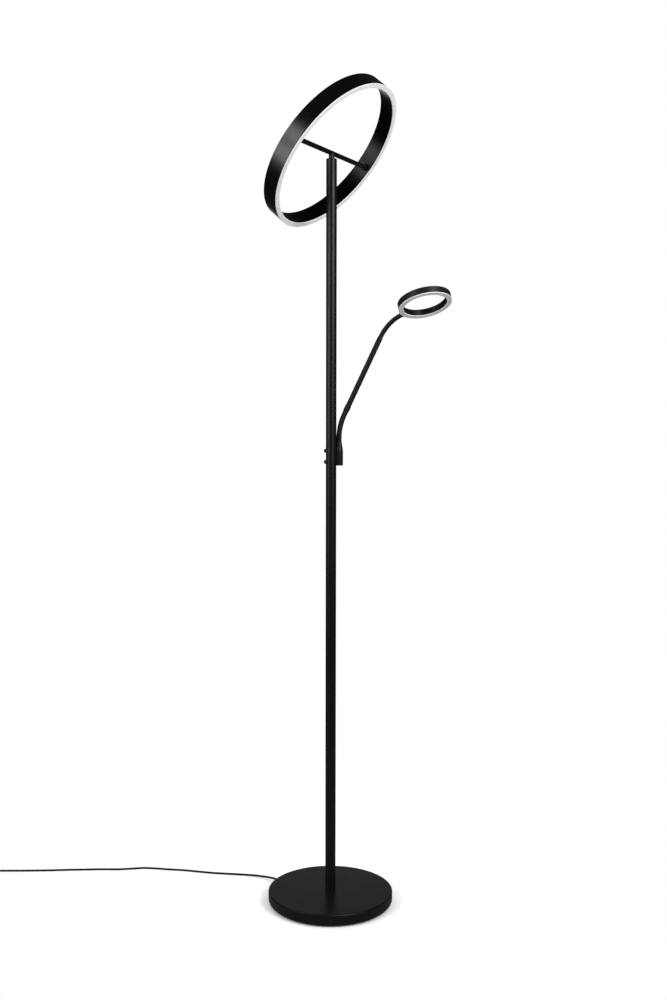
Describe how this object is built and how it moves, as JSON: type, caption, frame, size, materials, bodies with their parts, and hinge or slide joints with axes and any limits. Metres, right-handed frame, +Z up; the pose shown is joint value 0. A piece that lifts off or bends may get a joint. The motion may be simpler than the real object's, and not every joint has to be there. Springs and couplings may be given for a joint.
{
  "type": "torchiere floor lamp",
  "caption": "Slim black floor lamp with a round base, a tilting LED ring head on a rod through its middle, and a small LED ring reading light on a bendable arm.",
  "frame": {"origin": "on the floor, under the middle of the pole and the round base", "axes": "+Z up along the pole, +X towards the side that carries the reading arm, -Y towards the front"},
  "size_m": [1.118, 0.3575, 1.7638],
  "materials": {
    "black_pole_paint": "matt black powder coat",
    "black_ring_paint": "matt black coated aluminium channel",
    "black_neck_sleeve": "matt black sleeve",
    "black_plastic": "matt black moulding",
    "opal_diffuser": "opal, satin",
    "led_board": "white solder mask",
    "zinc_steel": "zinc plated",
    "cast_weight": "raw casting",
    "foot_rubber": "matt",
    "cord_pvc": "satin black sheath",
    "plug_pins": "nickel plated"
  },
  "bodies": {
    "stand": {"base_cover": "black_pole_paint", "base_weight": "cast_weight", "base_plate": "black_pole_paint", "foot_1": "foot_rubber", "foot_2": "foot_rubber", "foot_3": "foot_rubber", "foot_4": "foot_rubber", "foot_5": "foot_rubber", "base_stud": "zinc_steel", "base_nut": "zinc_steel", "base_washer": "zinc_steel", "driver_case": "black_plastic", "pole_bush": "zinc_steel", "pole_lower": "black_pole_paint", "pole_middle": "black_pole_paint", "pole_upper": "black_pole_paint", "pole_joint_lower": "zinc_steel", "pole_joint_upper": "zinc_steel", "pole_cap": "black_pole_paint", "arm_block": "black_pole_paint", "switch_bolt_lower": "black_plastic", "switch_bolt_upper": "black_plastic", "cord_relief": "cord_pvc", "cord": "cord_pvc", "cord_coil": "cord_pvc", "plug_body": "cord_pvc", "plug_pin_1": "plug_pins", "plug_pin_2": "plug_pins"},
    "head_stem": {"head_stem": "black_pole_paint", "stem_washer": "zinc_steel", "stem_nut": "zinc_steel", "cross_rod": "black_pole_paint"},
    "ring_head": {"rod_boss_left": "black_pole_paint", "rod_boss_right": "black_pole_paint", "ring_housing": "black_ring_paint", "ring_led_board": "led_board", "ring_diffuser": "opal_diffuser"},
    "arm_foot": {"neck_foot": "black_neck_sleeve"},
    "low_link_1": {"neck_link_1": "black_neck_sleeve"},
    "low_link_2": {"neck_link_2": "black_neck_sleeve"},
    "arm": {"neck_low_end": "black_neck_sleeve", "arm_collar": "black_pole_paint", "arm_tube": "black_pole_paint", "neck_up_start": "black_neck_sleeve"},
    "up_link_1": {"neck_link_3": "black_neck_sleeve"},
    "up_link_2": {"neck_link_4": "black_neck_sleeve"},
    "up_link_3": {"neck_link_5": "black_neck_sleeve"},
    "reading_light": {"neck_tip": "black_neck_sleeve", "tip_ferrule": "black_pole_paint", "small_housing": "black_ring_paint", "small_led_board": "led_board", "small_diffuser": "opal_diffuser"},
    "button_lower": {"button_lower": "black_plastic"},
    "button_upper": {"button_upper": "black_plastic"}
  },
  "joints": [
    {"name": "head_pan", "type": "hinge", "parent": "stand", "child": "head_stem", "pos_m": [0, 0, 1.6176], "axis": [0, 0, 1], "range_deg": [-170, 170]},
    {"name": "head_tilt", "type": "hinge", "parent": "head_stem", "child": "ring_head", "pos_m": [0, 0, 1.6176], "axis": [0.4399, 0.898, 0], "range_deg": [-28, 128]},
    {"name": "arm_swivel", "type": "hinge", "parent": "stand", "child": "arm_foot", "pos_m": [0.01681, 0.0045, 1.011], "axis": [0, 0, 1], "range_deg": [-85, 95]},
    {"name": "low_bend_1", "type": "hinge", "parent": "arm_foot", "child": "low_link_1", "pos_m": [0.01714, 0.00456, 1.02808], "axis": [-0.1736, 0.9848, 0], "range_deg": [-5, 14]},
    {"name": "low_bend_2", "type": "hinge", "parent": "low_link_1", "child": "low_link_2", "pos_m": [0.01977, 0.00503, 1.04604], "axis": [-0.1736, 0.9848, 0], "range_deg": [-5, 14]},
    {"name": "low_bend_3", "type": "hinge", "parent": "low_link_2", "child": "arm", "pos_m": [0.02498, 0.00594, 1.06341], "axis": [-0.1736, 0.9848, 0], "range_deg": [-5, 14]},
    {"name": "up_bend_1", "type": "hinge", "parent": "arm", "child": "up_link_1", "pos_m": [0.10872, 0.0203, 1.24256], "axis": [0.6773, 0.6363, -0.3692], "range_deg": [-12, 15]},
    {"name": "up_bend_2", "type": "hinge", "parent": "up_link_1", "child": "up_link_2", "pos_m": [0.11772, 0.0186, 1.25614], "axis": [0.6773, 0.6363, -0.3692], "range_deg": [-12, 15]},
    {"name": "up_bend_3", "type": "hinge", "parent": "up_link_2", "child": "up_link_3", "pos_m": [0.12831, 0.01408, 1.26779], "axis": [0.6773, 0.6363, -0.3692], "range_deg": [-12, 15]},
    {"name": "side_bend", "type": "hinge", "parent": "up_link_3", "child": "reading_light", "pos_m": [0.13994, 0.00698, 1.27688], "axis": [0.1098, -0.5837, -0.8045], "range_deg": [-25, 25]},
    {"name": "press_lower", "type": "slide", "parent": "stand", "child": "button_lower", "axis": [0.9659, 0.2588, 0], "range_m": [0, 0.0012], "stiffness_N_per_m": 400, "springref_m": -0.0004},
    {"name": "press_upper", "type": "slide", "parent": "stand", "child": "button_upper", "axis": [0.9659, 0.2588, 0], "range_m": [0, 0.0012], "stiffness_N_per_m": 400, "springref_m": -0.0004}
  ],
  "couplings": [
    {"joint": "low_bend_2", "follows": "low_bend_1", "ratio": 1},
    {"joint": "low_bend_3", "follows": "low_bend_1", "ratio": 1},
    {"joint": "up_bend_2", "follows": "up_bend_1", "ratio": 1},
    {"joint": "up_bend_3", "follows": "up_bend_1", "ratio": 1}
  ]
}
